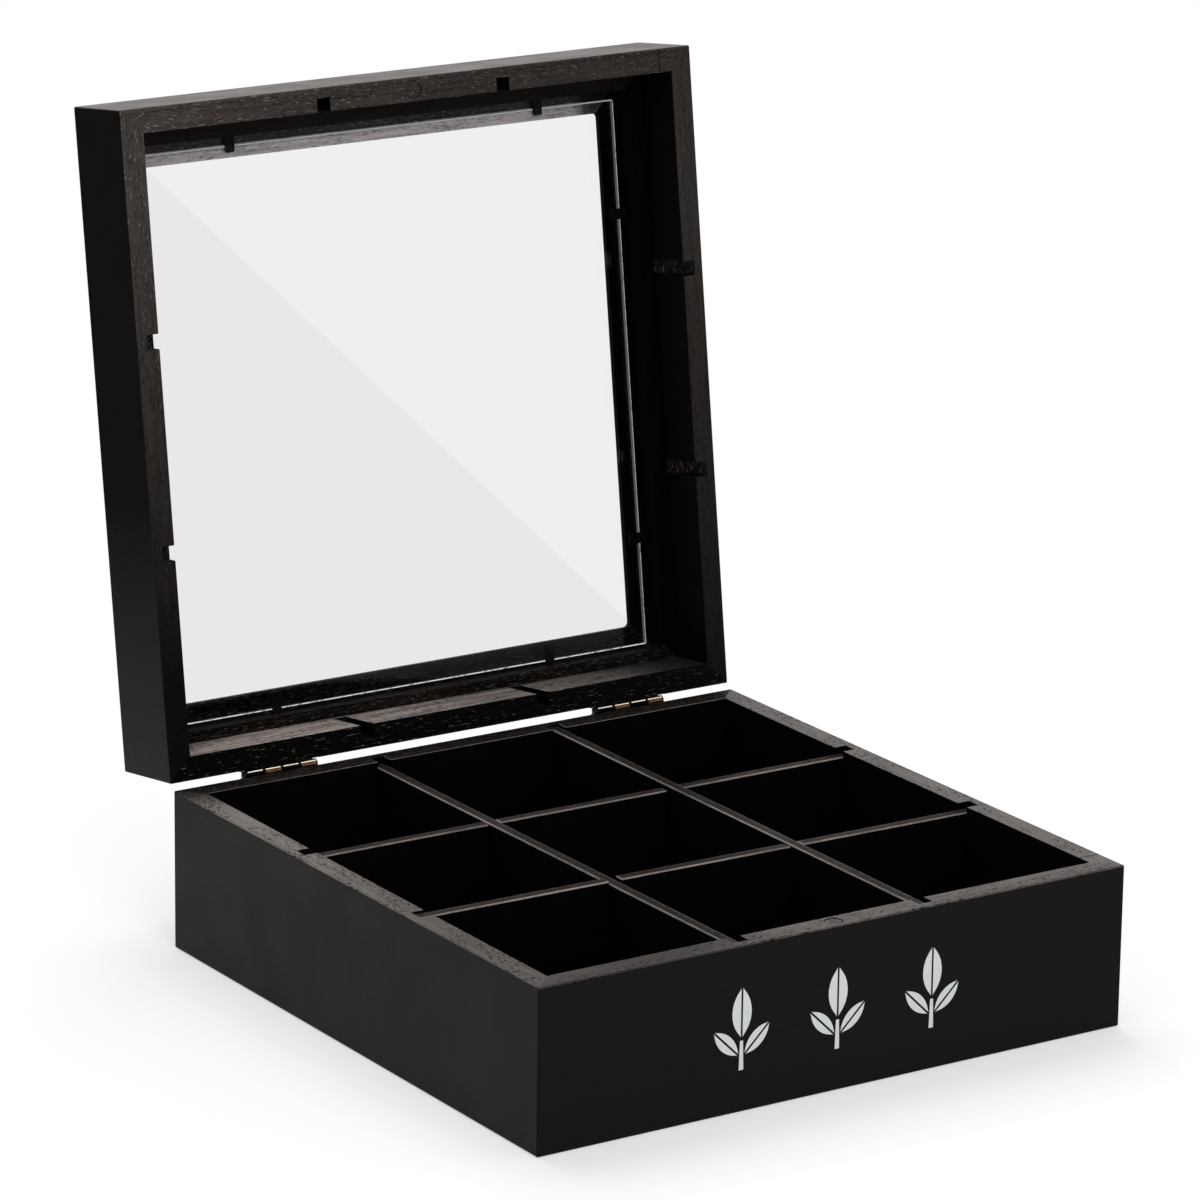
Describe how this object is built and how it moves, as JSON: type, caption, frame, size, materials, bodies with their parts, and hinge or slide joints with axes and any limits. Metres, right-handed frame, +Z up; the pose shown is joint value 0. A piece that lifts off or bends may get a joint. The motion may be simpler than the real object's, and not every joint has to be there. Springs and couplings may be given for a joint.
{
  "type": "tea bag organizer box",
  "caption": "Square timber storage box with a grid of open compartments and a hinged lid with a glass window, shown open on its stop hinges.",
  "frame": {"origin": "centre of the box's flat underside, at the middle of the bottom panel", "axes": "+Z up, +X to the right seen from the front, -Y the front; the hinges are on the +Y side"},
  "size_m": [0.24, 0.3088, 0.2983],
  "materials": {
    "painted_timber": "black paint rubbed thin over open-grained timber, satin",
    "painted_board": "thin fibreboard, black paint, matt",
    "divider_timber": "thin timber strips, black paint, satin",
    "painted_magnet": "disc magnet painted over with the rim",
    "hinge_brass": "brass-plated sheet, a little dulled",
    "pin_steel": "brass-plated wire, darkened at the heads",
    "screw_brass": "brass-plated, slotted",
    "clear_glass": "clear float glass with ground edges",
    "black_points": "black-coated spring steel"
  },
  "bodies": {
    "base": {"base_front_wall": "painted_timber", "base_back_wall": "painted_timber", "base_left_wall": "painted_timber", "base_right_wall": "painted_timber", "bottom_panel": "painted_board", "divider_long_left": "divider_timber", "divider_long_right": "divider_timber", "divider_cross_front": "divider_timber", "divider_cross_rear": "divider_timber", "base_magnet": "painted_magnet", "base_leaf_left": "hinge_brass", "base_leaf_right": "hinge_brass", "hinge_pin_left": "pin_steel", "hinge_pin_right": "pin_steel", "base_hinge_screws": "screw_brass"},
    "lid": {"lid_front_wall": "painted_timber", "lid_back_wall": "painted_timber", "lid_left_wall": "painted_timber", "lid_right_wall": "painted_timber", "lid_front_rail": "painted_timber", "lid_back_rail": "painted_timber", "lid_left_rail": "painted_timber", "lid_right_rail": "painted_timber", "glass_pane": "clear_glass", "glazing_points": "black_points", "lid_magnet": "painted_magnet", "lid_leaf_left": "hinge_brass", "lid_leaf_right": "hinge_brass", "lid_hinge_screws": "screw_brass"}
  },
  "joints": [
    {"name": "lid_hinge", "type": "hinge", "parent": "base", "child": "lid", "pos_m": [0, 0.12165, 0.05905], "axis": [1, 0, 0], "range_deg": [0, 97.9]}
  ]
}
